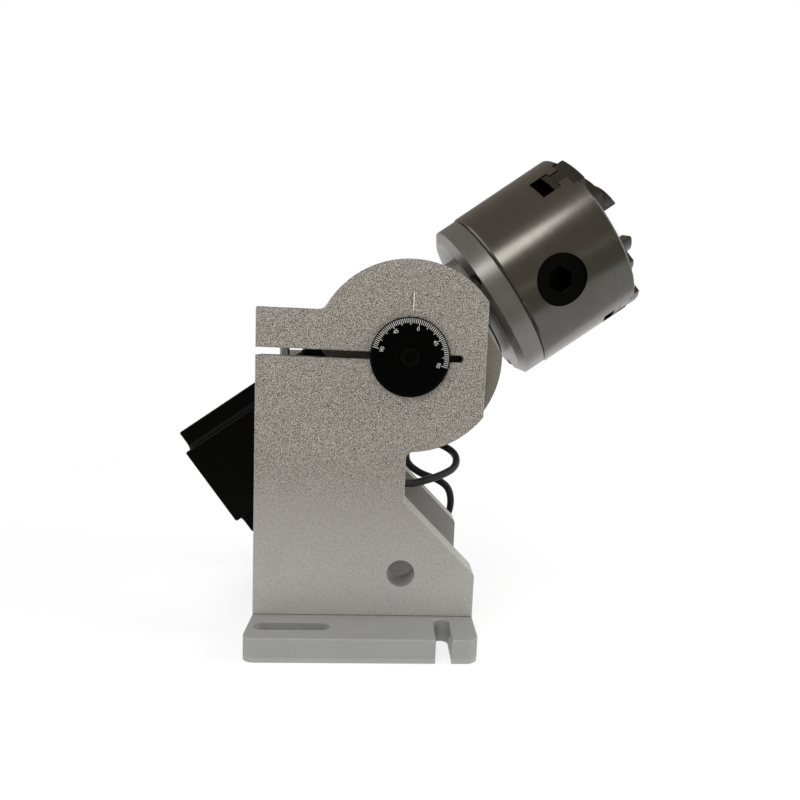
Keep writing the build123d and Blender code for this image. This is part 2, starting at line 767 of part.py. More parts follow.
# Back plate: bolts to the spindle's flange, and carries the chuck
back_radius = back_plate_diameter / 2
chuck_screw_places = [(chuck_screw_circle * cos(radians(chuck_turn + a)),
                       chuck_screw_circle * sin(radians(chuck_turn + a))) for a in (-30, 90, 210)]
chuck_screw_seat = back_plate_start + m4.tall + 2.4
chuck_screw_length = 16.0
with BuildPart() as back_plate:
    turned([(back_plate_start, 0), (back_plate_start, back_radius - back_plate_chamfer_deep),
            (back_plate_start + back_plate_chamfer_long, back_radius),
            (back_plate_end - chuck_groove, back_radius),
            (back_plate_end, back_radius - chuck_groove), (back_plate_end, 0)])
    ring(back_plate_start, back_plate_start + register_long + 0.5, 0, register_radius + 0.02,
         mode=Mode.SUBTRACT)
    screw_holes(across(flange_screw_seat), flange_screw_places, m4, flange_screw_length,
                sink=m4.tall + 1)
    screw_holes(Plane(across(chuck_screw_seat).origin, x_dir=upward, z_dir=-along),
                [(x, -y) for x, y in chuck_screw_places], m4, chuck_screw_length, sink=m4.tall + 4)
keep(back_plate, "back_plate")

with BuildPart() as flange_screws:
    screws(across(flange_screw_seat), flange_screw_places, m4, flange_screw_length)
keep(flange_screws, "flange_screws")

with BuildPart() as chuck_screws:
    screws(Plane(across(chuck_screw_seat).origin, x_dir=upward, z_dir=-along),
           [(x, -y) for x, y in chuck_screw_places], m4, chuck_screw_length)
keep(chuck_screws, "chuck_screws")


# Chuck body: hollow from behind, with three jaw slots in front and three pinion holes
chuck_radius = chuck_diameter / 2
cavity_radius = chuck_radius - chuck_wall
jaw_turns = [chuck_turn - 60 + 120 * i for i in range(3)]
pinion_turns = [chuck_turn + 120 * i for i in range(3)]
slot_in = chuck_bore / 2 - slot_past_bore
pin_radius = 1.5
pin_out = 35.6
pin_end = pinion_at - pinion_diameter / 2 + 1.4


def slot(turn, start, end, width):
    """Straight slot in the chuck's front, from the bore out through the rim."""
    with BuildSketch(across(start, turn)) as flat:
        with Locations(((slot_in + chuck_radius + 2) / 2, 0)):
            Rectangle(chuck_radius + 2 - slot_in, width)
    extrude(flat.sketch, amount=end - start, mode=Mode.SUBTRACT)


with BuildPart() as chuck_body:
    turned([(back_plate_end, cavity_radius), (back_plate_end, chuck_radius - chuck_groove),
            (back_plate_end + chuck_groove, chuck_radius), (chuck_face - 0.8, chuck_radius),
            (chuck_face, chuck_radius - 0.8), (chuck_face, chuck_bore / 2),
            (back_plate_end, chuck_bore / 2), (back_plate_end, hub_radius),
            (cavity_front, hub_radius), (cavity_front, cavity_radius)])
    for turn in jaw_turns:
        slot(turn, pocket_start, rail_start, pocket_width)
        slot(turn, rail_start, rail_end, rail_gap)
        slot(turn, rail_end, chuck_face, head_slot)
    for turn in pinion_turns:
        with BuildSketch(outward(turn, pinion_at).offset(cavity_radius - 3)):
            Circle(pinion_diameter / 2 + running_gap)
        extrude(amount=chuck_wall + 3, mode=Mode.SUBTRACT)
        with BuildSketch(across(back_plate_end, turn)):
            with Locations((pin_out, 0)):
                Circle(pin_radius + screw_gap)
        extrude(amount=pin_end - back_plate_end, mode=Mode.SUBTRACT)
    screw_holes(across(back_plate_end), chuck_screw_places, m4,
                back_plate_end - chuck_screw_seat - chuck_screw_length - 2 * screw_gap)
keep(chuck_body, "chuck_body")

with BuildPart() as scroll_cover:
    ring(back_plate_end + 0.1, back_plate_end + 8, hub_radius + screw_gap, cavity_radius - screw_gap)
    ring(back_plate_end + 8, scroll_start - running_gap, hub_radius + screw_gap, sleeve_radius)
keep(scroll_cover, "scroll_cover")

with BuildPart() as pinion_pins:
    for turn in pinion_turns:
        with BuildSketch(across(back_plate_end + 0.2, turn)):
            with Locations((pin_out, 0)):
                Circle(pin_radius)
        extrude(amount=pin_end - back_plate_end - 0.3)
keep(pinion_pins, "pinion_pins")


# Scroll: a disc with a spiral ridge in front and bevel teeth behind
def spiral(radius, turns):
    """Quarter arcs whose centres walk round a small square, so the radius grows evenly."""
    step = spiral_pitch / 4
    center = Vector(-step / 2, step / 2)
    walk = (Vector(0, -step), Vector(step, 0), Vector(0, step), Vector(-step, 0))
    arcs = []
    for i in range(round(4 * turns)):
        arcs.append(CenterArc(center, radius + i * step, 90 * i, 90))
        center = center + walk[i % 4]
    return arcs


scroll_front = scroll_start + scroll_thick
with BuildPart() as scroll:
    ring(scroll_start, scroll_front, hub_radius + running_gap, scroll_outer)
    with BuildSketch(across(scroll_front)):
        with BuildLine():
            inner = spiral(spiral_start, spiral_turns)
            outer = spiral(spiral_start + ridge_width, spiral_turns)
            Line(inner[0] @ 0, outer[0] @ 0)
            Line(inner[-1] @ 1, outer[-1] @ 1)
        make_face()
    extrude(amount=ridge_height)
    for i in range(scroll_teeth):
        mid = (pinion_gear_start + pinion_gear_end) / 2
        with BuildSketch(across(scroll_start - tooth_depth, chuck_turn + (i + 0.5) * 360 / scroll_teeth)):
            with Locations((mid, 0)):
                Rectangle(pinion_gear_end - pinion_gear_start, scroll_tooth)
        extrude(amount=tooth_depth)
keep(scroll, "scroll")

# Pinions: keyed heads in the rim, with small bevel gears that turn the scroll
pinion_tip = scroll_start - 0.4 - pinion_at
pin_groove = pinion_at - pin_end + 0.3
for number, turn in enumerate(pinion_turns, 1):
    with BuildPart() as pinion:
        seat = outward(turn, pinion_at)
        with BuildSketch(seat.offset(pinion_journal_start)):
            Circle(pinion_diameter / 2)
        extrude(amount=pinion_end - pinion_journal_start)
        with BuildSketch(seat.offset(pinion_gear_start)):
            Circle(pinion_tip - tooth_depth - 0.4)
        extrude(amount=pinion_journal_start - pinion_gear_start)
        for i in range(pinion_teeth):
            with BuildSketch(seat.offset(pinion_gear_start)):
                with PolarLocations(pinion_tip / 2, 1, i * 360 / pinion_teeth):
                    Rectangle(pinion_tip, pinion_tooth)
                Circle(pinion_tip, mode=Mode.INTERSECT)
            extrude(amount=pinion_gear_end - pinion_gear_start)
        with BuildSketch(seat.offset(pin_out - pin_radius - 0.2)):
            Circle(pinion_diameter / 2 + 1)
            Circle(pin_groove - 0.5, mode=Mode.SUBTRACT)
        extrude(amount=2 * pin_radius + 0.4, mode=Mode.SUBTRACT)
        with BuildSketch(seat.offset(pinion_end)):
            RegularPolygon(pinion_key / sqrt(3), 6)
        extrude(amount=-pinion_key_depth, mode=Mode.SUBTRACT)
        key_edges = pinion.faces().sort_by(Axis(seat.origin, seat.z_dir))[-1].inner_wires()[0].edges()
        chamfer(key_edges, 0.7)
    keep(pinion, f"pinion_{number}")


# Jaws: a foot under the chuck's rails, a neck, a stepped head and teeth in the spiral
def jaw_layer(turn, start, end, width, inner, outer, tip=True):
    """Layer of a jaw: pointed at 120 degrees inside, and round like the rim outside."""
    half = width / 2
    back = (half - jaw_tip_flat) / tan(radians(60)) if tip else 0
    with BuildSketch(across(start, turn)) as flat:
        with BuildLine():
            Polyline((inner + back, half), (outer, half), (outer, -half), (inner + back, -half),
                     (inner, -jaw_tip_flat), (inner, jaw_tip_flat), close=True)
        make_face()
        Circle(outer, mode=Mode.INTERSECT)
    extrude(flat.sketch, amount=end - start)


spiral_gap_mid = ridge_width + (spiral_pitch - ridge_width) / 2
jaw_tooth = spiral_pitch - ridge_width - 1.4
head_width = head_slot - 2 * slide_gap
for number, turn in enumerate(jaw_turns, 1):
    groove = spiral_start + spiral_pitch * (turn - 45) / 360 + spiral_gap_mid
    with BuildPart() as jaw:
        jaw_layer(turn, jaw_foot_start, rail_start - slide_gap, pocket_width - 2 * slide_gap,
                  jaw_tip_radius, jaw_outer)
        jaw_layer(turn, rail_start - slide_gap, rail_end + slide_gap, rail_gap - 2 * slide_gap,
                  jaw_tip_radius, jaw_outer)
        jaw_layer(turn, rail_end + slide_gap, chuck_face + jaw_first_step, head_width,
                  jaw_tip_radius, jaw_outer)
        jaw_layer(turn, chuck_face + jaw_first_step, chuck_face + jaw_second_step, head_width,
                  jaw_tip_radius, jaw_second_out)
        jaw_layer(turn, chuck_face + jaw_second_step, chuck_face + jaw_third_step, head_width,
                  jaw_tip_radius, jaw_third_out)
        for i in range(-1, 3):
            radius = groove + i * spiral_pitch
            if radius - jaw_tooth / 2 < jaw_tip_radius + 4 or radius > jaw_outer - 8:
                continue
            with BuildSketch(across(scroll_front + 0.4, turn)):
                Circle(radius + jaw_tooth / 2)
                Circle(radius - jaw_tooth / 2, mode=Mode.SUBTRACT)
                with Locations((radius, 0)):
                    Rectangle(8, jaw_tooth_wide, mode=Mode.INTERSECT)
            extrude(amount=jaw_foot_start - scroll_front - 0.4)
    keep(jaw, f"jaw_{number}")


# Motor lead: straight runs joined by arcs, from the grommet over the far plate's slope
# and down to a coil on the surface behind the base
lead_radius = lead_diameter / 2
lead_exit = grommet_plane.from_local_coords((0, -grommet_y, grommet_face + grommet_length))
lead_first_run = 9.0
lead_route = [
    (3.5, 18.5, 53.0),
    (14.0, 25.0, 54.2),
    (24.0, 33.5, 56.0),
    (31.5, 42.5, 58.5),
    (32.5, 51.5, 64.0),
    (25.0, 57.0, 68.5),
    (14.0, 59.5, 70.5),
    (4.0, 60.5, 66.5),
    (3.5, 61.0, 57.0),
    (12.0, 61.0, 50.5),
    (22.5, 60.5, 47.5),
    (30.0, 60.5, 42.5),
    (32.0, 61.5, 32.0),
    (29.5, 65.0, 22.5),
    (23.5, 73.0, 17.0),
    (14.5, 79.0, 10.0),
    (2.0, 81.0, 4.6),
    (-10.0, 80.0, 2.4),
    (-22.0, 79.8, 2.2),
]
route = [lead_exit, lead_exit + grommet_plane.z_dir * lead_first_run]
route += [Vector(*point) for point in lead_route]


def arc_radii(points):
    """Largest arc for each corner: 0.45 of the shorter run over the tangent of half the turn."""
    radii = []
    for before, here, after in zip(points, points[1:], points[2:]):
        turn = (here - before).get_angle(after - here)
        shorter = min((here - before).length, (after - here).length)
        radii.append(0.45 * shorter / tan(radians(turn) / 2))
    return radii


lead_radii = arc_radii(route)
with BuildPart() as motor_lead:
    with BuildLine():
        lead_line = FilletPolyline(*route, radius=lead_radii)
    with BuildSketch(Plane(lead_line @ 0, z_dir=lead_line % 0)):
        Circle(lead_radius)
    sweep()
keep(motor_lead, "motor_lead")
lead_run = lead_line.length
print("lead tube", round(lead_run, 1), "mm long, radii", [round(r, 1) for r in lead_radii])
print("lead volume / (section x length)",
      round(motor_lead.part.volume / (pi * lead_radius**2 * lead_run), 4))

coil_center = (coil_x, coil_y)
coil_mid = coil_turn_diameter / 2
coil_band = coil_layers * lead_diameter
coil_turns = (lead_length - lead_run - tail_run) / (pi * coil_turn_diameter)
print("coil turns", round(coil_turns, 2))
with BuildPart() as lead_coil:
    with BuildSketch():
        with Locations(coil_center):
            Circle(coil_mid + coil_band / 2)
            Circle(coil_mid - coil_band / 2, mode=Mode.SUBTRACT)
    extrude(amount=coil_band)
    fillet(lead_coil.edges(), lead_radius * 0.9)
keep(lead_coil, "lead_coil")

tail_y = coil_y + coil_mid + coil_band / 2 - lead_radius
tail_start = Plane((coil_x + 6, tail_y, lead_radius + 0.1), z_dir=(1, 0, 0))
plug_start = Plane((coil_x + 6 + tail_run, tail_y, lead_radius + 0.1), z_dir=(1, 0, 0))
with BuildPart() as lead_tail:
    with BuildSketch(tail_start):
        Circle(lead_radius)
    extrude(amount=tail_run)
keep(lead_tail, "lead_tail")

plug_center = Plane((coil_x + 6 + tail_run, tail_y, plug_diameter / 2), z_dir=(1, 0, 0))
with BuildPart() as lead_plug:
    with BuildSketch(plug_center):
        Circle(plug_diameter / 2)
    extrude(amount=plug_length)
    with BuildSketch(plug_center.offset(plug_length)):
        Circle(plug_diameter / 2 - 1.4)
    extrude(amount=-8, mode=Mode.SUBTRACT)
    with BuildSketch(plug_center.offset(plug_length - 8)):
        with PolarLocations(2.6, 4):
            Circle(0.6)
    extrude(amount=6)
keep(lead_plug, "lead_plug")
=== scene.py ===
import bpy
import bmesh
from math import cos, sin, radians, hypot, sqrt
from mathutils import Matrix, Vector


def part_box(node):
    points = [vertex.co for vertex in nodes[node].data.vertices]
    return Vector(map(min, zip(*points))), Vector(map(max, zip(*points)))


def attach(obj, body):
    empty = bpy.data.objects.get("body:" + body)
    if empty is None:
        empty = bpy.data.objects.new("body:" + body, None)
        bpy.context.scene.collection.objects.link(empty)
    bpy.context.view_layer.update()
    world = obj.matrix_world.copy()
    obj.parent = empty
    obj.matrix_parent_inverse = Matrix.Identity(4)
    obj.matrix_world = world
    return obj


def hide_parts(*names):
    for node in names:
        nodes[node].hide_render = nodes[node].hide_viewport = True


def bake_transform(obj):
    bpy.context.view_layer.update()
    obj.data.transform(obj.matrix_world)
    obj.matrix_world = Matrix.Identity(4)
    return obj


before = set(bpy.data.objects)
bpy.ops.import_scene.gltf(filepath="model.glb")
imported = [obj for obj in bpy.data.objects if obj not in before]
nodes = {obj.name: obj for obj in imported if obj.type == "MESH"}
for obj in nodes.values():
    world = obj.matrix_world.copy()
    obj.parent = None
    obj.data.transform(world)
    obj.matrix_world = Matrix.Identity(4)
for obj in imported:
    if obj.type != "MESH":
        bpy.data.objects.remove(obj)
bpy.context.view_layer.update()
scene = bpy.context.scene
print("frame loaded:", len(nodes), "nodes")

# camera, where the photographer stood
camera = {
    "place": (-0.00954, -0.32558, 0.13049),
    "right": (0.996426, -0.072122, 0.043998),
    "up": (-0.034912, 0.122733, 0.991826),
    "back": (-0.076932, -0.989816, 0.119777),
    "lens": 29.964,
    "sensor": 36,
    "shift": (-0.0452, 0.0225),
    "clip": (0.01, 50),
}


def setCamera():
    data = bpy.data.cameras.new("camera")
    data.lens = camera["lens"]
    data.sensor_width = camera["sensor"]
    data.shift_x, data.shift_y = camera["shift"]
    data.clip_start, data.clip_end = camera["clip"]
    eye = bpy.data.objects.new("camera", data)
    scene.collection.objects.link(eye)
    turn = Matrix((camera["right"], camera["up"], camera["back"])).transposed().to_4x4()
    eye.matrix_world = Matrix.Translation(camera["place"]) @ turn
    scene.camera = eye


setCamera()
print("camera set")

# the head at rest: its tilt axis, and the degrees that the spindle leans from upright
head = {"axis": (0, 0, 0.122), "lean": 54}


def meshFrom(holder):
    # what a curve or text object looks like now
    bpy.context.view_layer.update()
    return bpy.data.meshes.new_from_object(holder.evaluated_get(bpy.context.evaluated_depsgraph_get()))


def addPiece(name, shape, material):
    mesh = bpy.data.meshes.new(name)
    shape.to_mesh(mesh)
    shape.free()
    mesh.materials.append(material)
    piece = bpy.data.objects.new(name, mesh)
    scene.collection.objects.link(piece)
    return piece


# motor cable: out of the grommet, round the far plate in two loops, then a stored coil
cable = {
    "diameter": 0.0042,
    "length": 1.5,
    "exit": (-0.01035, 0.012, 0.06479),
    "route": [
        (-0.00506, 0.012, 0.05751), (0.0035, 0.0185, 0.053), (0.014, 0.025, 0.0542),
        (0.024, 0.0335, 0.056), (0.0315, 0.0425, 0.0585), (0.0325, 0.0515, 0.064),
        (0.025, 0.057, 0.0685), (0.014, 0.0595, 0.0705), (0.004, 0.0605, 0.0665),
        (0.0035, 0.061, 0.057), (0.012, 0.061, 0.0505), (0.0225, 0.0605, 0.0475),
        (0.030, 0.0605, 0.0425), (0.032, 0.0615, 0.032), (0.0295, 0.065, 0.0225),
        (0.0235, 0.073, 0.017), (0.0145, 0.079, 0.010), (0.002, 0.081, 0.0046),
        (-0.010, 0.080, 0.0024), (-0.022, 0.0796, 0.0022),
    ],
    "coilMiddle": (-0.032, 0.108),
    "coilRadii": (0.0284, 0.02405, 0.0197),
    "coilHeights": (0.0022, 0.0065, 0.0108),
    "coilCells": [(0, 0), (1, 0), (2, 0), (2, 1), (2, 2), (1, 2), (1, 1), (0, 1), (0, 2)],
    "coilStart": -90,
    "coilSteps": range(330, 2711, 340),   # degrees wound at each change of cell
    "stepTurn": 12,                       # degrees that a change takes
    "coilEnd": 3045,
    "pointTurn": 15,                      # degrees from point to point
    "tail": [(0.004, 0.0300, 0.0108), (0.011, 0.0302, 0.0072), (0.017, 0.0290, 0.0026),
             (0.022, 0.0282, 0.0022)],
    "bendEnd": (0.002, 0.034, 0.052),     # point on the route past which the cable is meant to stay with the plates
    "curveSteps": 6,
    "bevelSteps": 3,
}


def coilPoint(wound):
    ring, layer = cable["coilCells"][0]
    radius, height = cable["coilRadii"][ring], cable["coilHeights"][layer]
    for step, (ring, layer) in zip(cable["coilSteps"], cable["coilCells"][1:]):
        share = min(max((wound - step) / cable["stepTurn"], 0), 1)
        radius += share * (cable["coilRadii"][ring] - radius)
        height += share * (cable["coilHeights"][layer] - height)
    turn = radians(cable["coilStart"] - wound)
    x, y = cable["coilMiddle"]
    return (x + radius * cos(turn), y + radius * sin(turn), height)


def makeCable():
    points = [cable["exit"]] + cable["route"]
    points += [coilPoint(w) for w in range(0, cable["coilEnd"] + 1, cable["pointTurn"])]
    x, y = cable["coilMiddle"]
    points += [(x + a, y + b, c) for a, b, c in cable["tail"]]
    data = bpy.data.curves.new("cableLine", "CURVE")
    data.dimensions = "3D"
    data.resolution_u = cable["curveSteps"]
    line = data.splines.new("NURBS")
    line.points.add(len(points) - 1)
    for point, place in zip(line.points, points):
        point.co = (*place, 1)
    line.order_u = 3
    line.use_endpoint_u = True
    holder = bpy.data.objects.new("cableLine", data)
    scene.collection.objects.link(holder)
    path = [tuple(v.co) for v in meshFrom(holder).vertices]
    data.bevel_depth = cable["diameter"] / 2
    data.bevel_resolution = cable["bevelSteps"]
    data.use_fill_caps = True
    mesh = meshFrom(holder)
    mesh.name = "motorCable"
    bpy.data.objects.remove(holder)
    for face in mesh.polygons:
        face.use_smooth = True
    piece = bpy.data.objects.new("motorCable", mesh)
    scene.collection.objects.link(piece)
    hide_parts("motor_lead", "lead_coil", "lead_tail")
    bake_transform(piece)
    return piece


motorCable = makeCable()
print("cable laid")


# shader groups that several finishes share
def newGroup(name, inputs, outputs):
    group = bpy.data.node_groups.new(name, "ShaderNodeTree")
    for title, kind, value in inputs:
        socket = group.interface.new_socket(title, in_out="INPUT", socket_type=kind)
        if value is not None:
            socket.default_value = value
    for title, kind in outputs:
        group.interface.new_socket(title, in_out="OUTPUT", socket_type=kind)
    return group, group.nodes.new("NodeGroupInput"), group.nodes.new("NodeGroupOutput")


def feed(tree, value, socket):
    if hasattr(value, "links"):   # another node's socket
        tree.links.new(value, socket)
    else:
        socket.default_value = value


def addMath(tree, operation, first, second):
    step = tree.nodes.new("ShaderNodeMath")
    step.operation = operation
    for value, socket in zip((first, second), step.inputs):
        feed(tree, value, socket)
    return step.outputs[0]


def addRange(tree, value, low, high, toLow, toHigh):
    step = tree.nodes.new("ShaderNodeMapRange")
    for item, socket in zip((value, low, high, toLow, toHigh), step.inputs):
        feed(tree, item, socket)
    return step.outputs[0]


def addNoise(tree, vector, scale, detail, roughness):
    step = tree.nodes.new("ShaderNodeTexNoise")
    for title, value in (("Vector", vector), ("Scale", scale), ("Detail", detail), ("Roughness", roughness)):
        feed(tree, value, step.inputs[title])
    return step.outputs["Fac"]


def tintColor(tree, color, amount):
    step = tree.nodes.new("ShaderNodeVectorMath")
    step.operation = "SCALE"
    tree.links.new(color, step.inputs[0])
    tree.links.new(amount, step.inputs["Scale"])
    return step.outputs[0]


finishInputs = [("Vector", "NodeSocketVector", None), ("Color", "NodeSocketColor", (0.5, 0.5, 0.5, 1)),
                ("Scale", "NodeSocketFloat", 1500.0), ("Contrast", "NodeSocketFloat", 0.1),
                ("Roughness", "NodeSocketFloat", 0.5), ("Smudge", "NodeSocketFloat", 0.05)]
finishOutputs = [("Color", "NodeSocketColor"), ("Roughness", "NodeSocketFloat"),
                 ("Height", "NodeSocketFloat")]


# grain and smudges, the same in all finishes; each noise is given its detail and roughness
grainLook = {
    "small": (2.0, 0.7),
    "coarse": (2.0, 0.6),
    "coarseScale": 0.55,            # against the small grain's
    "shares": (0.6, 0.4),           # of small and coarse grain
    "turned": (3.0, 0.7),
    "streak": 0.03,                 # how fast a turned mark changes on its way round
    "smudges": (34.0, 4.0, 0.62),   # with its scale first
    "span": (0.3, 0.7),             # a noise's values, dark to bright
    "grainGloss": (0.9, 1.1),
    "smudgeGloss": (1.12, 0.94),
}


def closeFinish(tree, source, sink, grain):
    # colour and roughness from a fine grain and slow smudges
    contrast, span = source.outputs["Contrast"], grainLook["span"]
    smudges = addNoise(tree, source.outputs["Vector"], *grainLook["smudges"])
    low = addMath(tree, "SUBTRACT", 1.0, contrast)
    high = addMath(tree, "ADD", 1.0, contrast)
    fine = addRange(tree, grain, *span, low, high)
    slow = addRange(tree, smudges, *span, addMath(tree, "SUBTRACT", 1.0, source.outputs["Smudge"]), 1.0)
    tint = tintColor(tree, source.outputs["Color"], addMath(tree, "MULTIPLY", fine, slow))
    tree.links.new(tint, sink.inputs["Color"])
    gloss = addRange(tree, grain, *span, *grainLook["grainGloss"])
    gloss = addMath(tree, "MULTIPLY", gloss, source.outputs["Roughness"])
    gloss = addMath(tree, "MULTIPLY", gloss, addRange(tree, smudges, *span, *grainLook["smudgeGloss"]))
    tree.links.new(gloss, sink.inputs["Roughness"])
    tree.links.new(grain, sink.inputs["Height"])


def makeBlastGroup():
    tree, source, sink = newGroup("blastGrain", finishInputs, finishOutputs)
    vector, scale = source.outputs["Vector"], source.outputs["Scale"]
    smallShare, coarseShare = grainLook["shares"]
    small = addNoise(tree, vector, scale, *grainLook["small"])
    coarseScale = addMath(tree, "MULTIPLY", scale, grainLook["coarseScale"])
    coarse = addNoise(tree, vector, coarseScale, *grainLook["coarse"])
    grain = addMath(tree, "ADD", addMath(tree, "MULTIPLY", small, smallShare),
                    addMath(tree, "MULTIPLY", coarse, coarseShare))
    closeFinish(tree, source, sink, grain)
    return tree


def makeTurnedGroup():
    # marks of the lathe or grinder, running round the spindle's own axis
    tree, source, sink = newGroup("turnedMarks", finishInputs, finishOutputs)
    seat = tree.nodes.new("ShaderNodeMapping")
    seat.vector_type = "TEXTURE"
    seat.inputs["Location"].default_value = head["axis"]
    seat.inputs["Rotation"].default_value = (0, radians(head["lean"]), 0)
    tree.links.new(source.outputs["Vector"], seat.inputs["Vector"])
    parts = tree.nodes.new("ShaderNodeSeparateXYZ")
    tree.links.new(seat.outputs["Vector"], parts.inputs[0])
    flat = tree.nodes.new("ShaderNodeCombineXYZ")
    tree.links.new(parts.outputs[0], flat.inputs[0])
    tree.links.new(parts.outputs[1], flat.inputs[1])
    far = tree.nodes.new("ShaderNodeVectorMath")
    far.operation = "LENGTH"
    tree.links.new(flat.outputs[0], far.inputs[0])
    lathe = tree.nodes.new("ShaderNodeCombineXYZ")
    tree.links.new(far.outputs["Value"], lathe.inputs[0])
    tree.links.new(parts.outputs[2], lathe.inputs[1])
    tree.links.new(addMath(tree, "MULTIPLY", parts.outputs[0], grainLook["streak"]), lathe.inputs[2])
    grain = addNoise(tree, lathe.outputs[0], source.outputs["Scale"], *grainLook["turned"])
    closeFinish(tree, source, sink, grain)
    return tree


blastGrain = makeBlastGroup()
turnedMarks = makeTurnedGroup()


mixSockets = {"share": 0, "foot": 6, "above": 7, "mixed": 2}   # of a Mix node for colours


def makeFinish(name, group, look):
    material = bpy.data.materials.new(name)
    material.use_nodes = True
    tree = material.node_tree
    shader = tree.nodes["Principled BSDF"]
    shader.inputs["Metallic"].default_value = look["metallic"]
    shader.inputs["Specular IOR Level"].default_value = look.get("specular", 0.5)
    place = tree.nodes.new("ShaderNodeTexCoord")
    grain = tree.nodes.new("ShaderNodeGroup")
    grain.node_tree = group
    grain.inputs["Color"].default_value = (*look["color"], 1)
    for title in ("Scale", "Contrast", "Roughness", "Smudge"):
        grain.inputs[title].default_value = look[title.lower()]
    tree.links.new(place.outputs["Object"], grain.inputs["Vector"])
    if "fade" in look:   # the blasting gets fainter towards the foot, and the colour gets paler there
        low, high, weak = look["fade"]
        height = tree.nodes.new("ShaderNodeSeparateXYZ")
        tree.links.new(place.outputs["Object"], height.inputs[0])
        contrast = addRange(tree, height.outputs[2], low, high, weak, look["contrast"])
        tree.links.new(contrast, grain.inputs["Contrast"])
        foot, waist, pale = look["pale"]
        blend = tree.nodes.new("ShaderNodeMix")
        blend.data_type = "RGBA"
        blend.inputs[mixSockets["foot"]].default_value = (*pale, 1)
        blend.inputs[mixSockets["above"]].default_value = (*look["color"], 1)
        share = addRange(tree, height.outputs[2], foot, waist, 0.0, 1.0)
        tree.links.new(share, blend.inputs[mixSockets["share"]])
        tree.links.new(blend.outputs[mixSockets["mixed"]], grain.inputs["Color"])
    tree.links.new(grain.outputs["Color"], shader.inputs["Base Color"])
    tree.links.new(grain.outputs["Roughness"], shader.inputs["Roughness"])
    bump = tree.nodes.new("ShaderNodeBump")
    bump.inputs["Strength"].default_value = look["bump"]
    bump.inputs["Distance"].default_value = look["depth"]
    tree.links.new(grain.outputs["Height"], bump.inputs["Height"])
    tree.links.new(bump.outputs["Normal"], shader.inputs["Normal"])
    return material


# "fade": heights of weak and full contrast, and the weak one; "pale": heights and the colour at the foot
finishes = {
    "plateAluminium": (blastGrain, {
        "color": (0.275, 0.253, 0.223), "metallic": 0.35, "roughness": 0.5, "scale": 3600,
        "contrast": 2.0, "smudge": 0.05, "bump": 0.5, "depth": 0.0003,
        "fade": (0.055, 0.085, 0.42), "pale": (0.02, 0.072, (0.4, 0.395, 0.37))}),
    "baseAluminium": (blastGrain, {
        "color": (0.315, 0.315, 0.303), "metallic": 0.35, "roughness": 0.42, "scale": 2700,
        "contrast": 0.16, "smudge": 0.05, "bump": 0.3, "depth": 0.0002}),
    "housingAluminium": (blastGrain, {
        "color": (0.22, 0.205, 0.17), "metallic": 0.35, "roughness": 0.5, "scale": 2700, "contrast": 0.5,
        "smudge": 0.06, "bump": 0.5, "depth": 0.0003}),
    "chuckSteel": (turnedMarks, {
        "color": (0.2, 0.19, 0.172), "metallic": 1.0, "roughness": 0.22, "scale": 2200, "contrast": 0.1,
        "smudge": 0.14, "bump": 0.15, "depth": 0.0001}),
    "backPlateSteel": (turnedMarks, {
        "color": (0.27, 0.265, 0.25), "metallic": 0.9, "roughness": 0.32, "scale": 2600, "contrast": 0.1,
        "smudge": 0.06, "bump": 0.2, "depth": 0.0001}),
    "jawSteel": (blastGrain, {
        "color": (0.1, 0.096, 0.09), "metallic": 1.0, "roughness": 0.3, "scale": 700, "contrast": 0.16,
        "smudge": 0.2, "bump": 0.2, "depth": 0.0001}),
    "spindleSteel": (turnedMarks, {
        "color": (0.44, 0.43, 0.41), "metallic": 1.0, "roughness": 0.3, "scale": 2200, "contrast": 0.14,
        "smudge": 0.08, "bump": 0.2, "depth": 0.0001}),
    "groundSteel": (turnedMarks, {
        "color": (0.6, 0.6, 0.6), "metallic": 1.0, "roughness": 0.15, "scale": 3000, "contrast": 0.05,
        "smudge": 0.04, "bump": 0.05, "depth": 0.0001}),
    "screwSteel": (blastGrain, {
        "color": (0.42, 0.41, 0.39), "metallic": 1.0, "roughness": 0.32, "scale": 900, "contrast": 0.12,
        "smudge": 0.1, "bump": 0.1, "depth": 0.0001}),
    "blackOxide": (blastGrain, {
        "color": (0.0011, 0.0011, 0.001), "metallic": 0.0, "roughness": 0.36, "scale": 1400,
        "contrast": 0.3, "smudge": 0.3, "bump": 0.2, "depth": 0.0001, "specular": 0.08}),
    "dialBlack": (turnedMarks, {
        "color": (0.0008, 0.0008, 0.0008), "metallic": 0.0, "roughness": 0.42, "scale": 2600,
        "contrast": 0.3, "smudge": 0.2, "bump": 0.1, "depth": 0.0001, "specular": 0.035}),
    "motorBlack": (blastGrain, {
        "color": (0.0006, 0.0006, 0.0005), "metallic": 0.0, "roughness": 0.3, "scale": 900,
        "contrast": 0.3, "smudge": 0.2, "bump": 0.25, "depth": 0.0002, "specular": 0.09}),
    "rotorIron": (turnedMarks, {
        "color": (0.16, 0.15, 0.14), "metallic": 0.9, "roughness": 0.5, "scale": 2400, "contrast": 0.3,
        "smudge": 0.2, "bump": 0.3, "depth": 0.0002}),
    "couplingPlastic": (blastGrain, {
        "color": (0.72, 0.7, 0.64), "metallic": 0.0, "roughness": 0.5, "scale": 500, "contrast": 0.05,
        "smudge": 0.05, "bump": 0.1, "depth": 0.0001}),
    "cableSheath": (blastGrain, {
        "color": (0.009, 0.009, 0.01), "metallic": 0.0, "roughness": 0.36, "scale": 1300,
        "contrast": 0.25, "smudge": 0.2, "bump": 0.2, "depth": 0.0001, "specular": 0.3}),
    "plugMetal": (blastGrain, {
        "color": (0.5, 0.5, 0.51), "metallic": 1.0, "roughness": 0.28, "scale": 1200, "contrast": 0.08,
        "smudge": 0.08, "bump": 0.1, "depth": 0.0001}),
}

